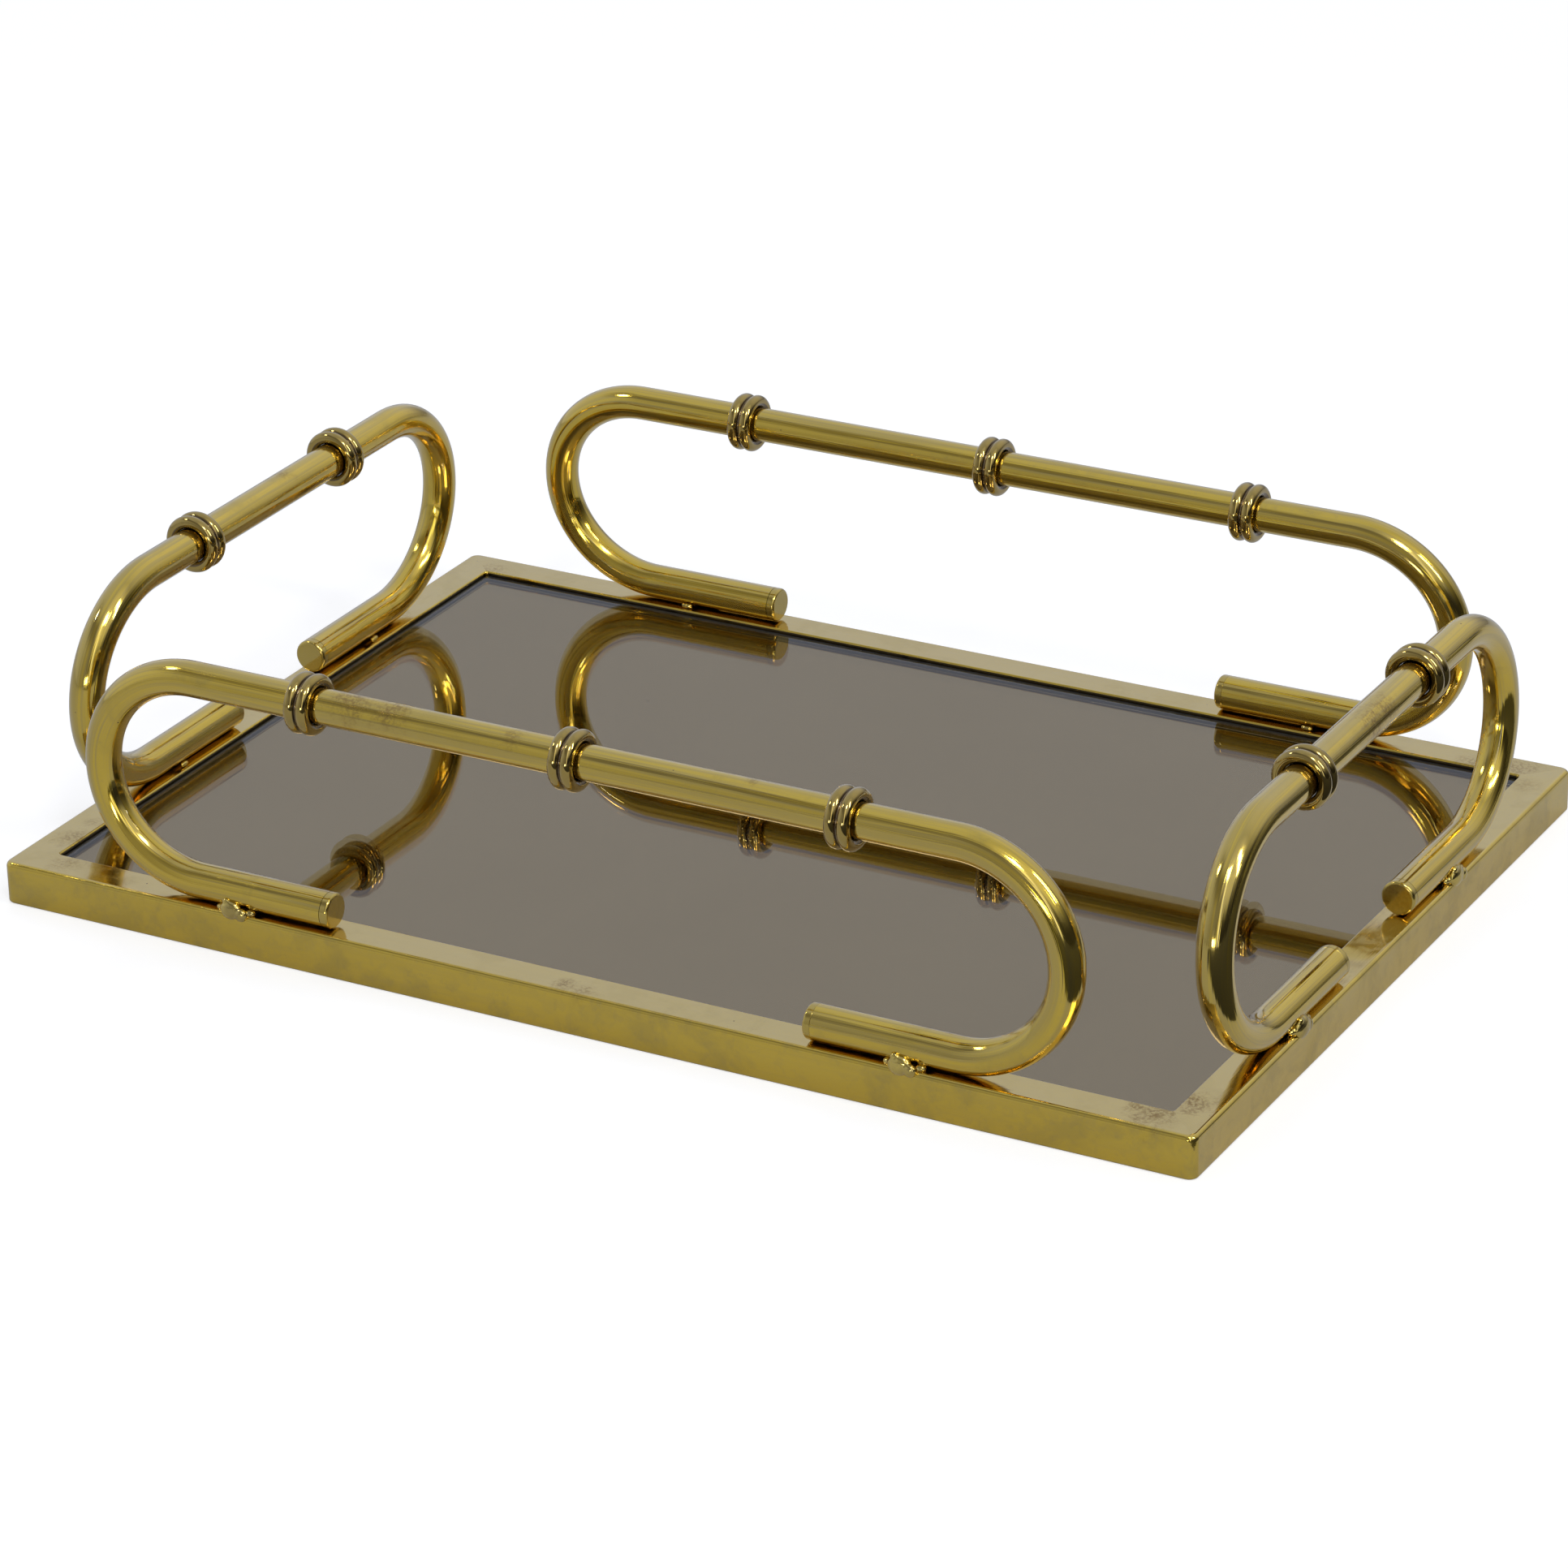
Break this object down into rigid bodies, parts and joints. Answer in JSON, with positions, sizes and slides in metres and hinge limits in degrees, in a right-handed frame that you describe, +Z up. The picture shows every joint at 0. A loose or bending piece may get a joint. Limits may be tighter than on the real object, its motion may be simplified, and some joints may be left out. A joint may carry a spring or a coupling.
{
  "type": "tray",
  "caption": "Rectangular brass tray with a smoked mirror base and an open tube loop with beaded collars standing on each side of the frame.",
  "frame": {"origin": "middle of the underside, in the plane that the rails rest on", "axes": "+X along the tray's length, to the right as seen from the front rail; +Y along its width, from the front rail to the back rail; +Z up"},
  "size_m": [0.4408, 0.3035, 0.1033],
  "materials": {
    "rail_brass": "polished and lightly tarnished, with fine polishing lines along the rail",
    "tube_brass": "mirror polished drawn tube with fine lines and faint tarnish patches",
    "collar_brass": "mirror polished, dark in the groove between the beads",
    "plug_brass": "polished face with faint turning rings",
    "braze": "rough shiny braze with flux pits",
    "ledge_brass": "unpolished, oxidised",
    "mirror_glass": "polished smoked glass silvered on its back",
    "board": "raw hardboard",
    "baize": "short napped woollen baize"
  },
  "bodies": {
    "root": {"front_rail": "rail_brass", "front_ledge": "ledge_brass", "front_loop": "tube_brass", "front_collar_1": "collar_brass", "front_collar_2": "collar_brass", "front_collar_3": "collar_brass", "front_end_plug_1": "plug_brass", "front_end_plug_2": "plug_brass", "front_tack_1": "braze", "front_tack_2": "braze", "right_rail": "rail_brass", "right_ledge": "ledge_brass", "right_loop": "tube_brass", "right_collar_1": "collar_brass", "right_collar_2": "collar_brass", "right_end_plug_1": "plug_brass", "right_end_plug_2": "plug_brass", "right_tack_1": "braze", "right_tack_2": "braze", "back_rail": "rail_brass", "back_ledge": "ledge_brass", "back_loop": "tube_brass", "back_collar_1": "collar_brass", "back_collar_2": "collar_brass", "back_collar_3": "collar_brass", "back_end_plug_1": "plug_brass", "back_end_plug_2": "plug_brass", "back_tack_1": "braze", "back_tack_2": "braze", "left_rail": "rail_brass", "left_ledge": "ledge_brass", "left_loop": "tube_brass", "left_collar_1": "collar_brass", "left_collar_2": "collar_brass", "left_end_plug_1": "plug_brass", "left_end_plug_2": "plug_brass", "left_tack_1": "braze", "left_tack_2": "braze", "mirror_glass": "mirror_glass", "backing_board": "board", "underside_baize": "baize"}
  },
  "joints": []
}
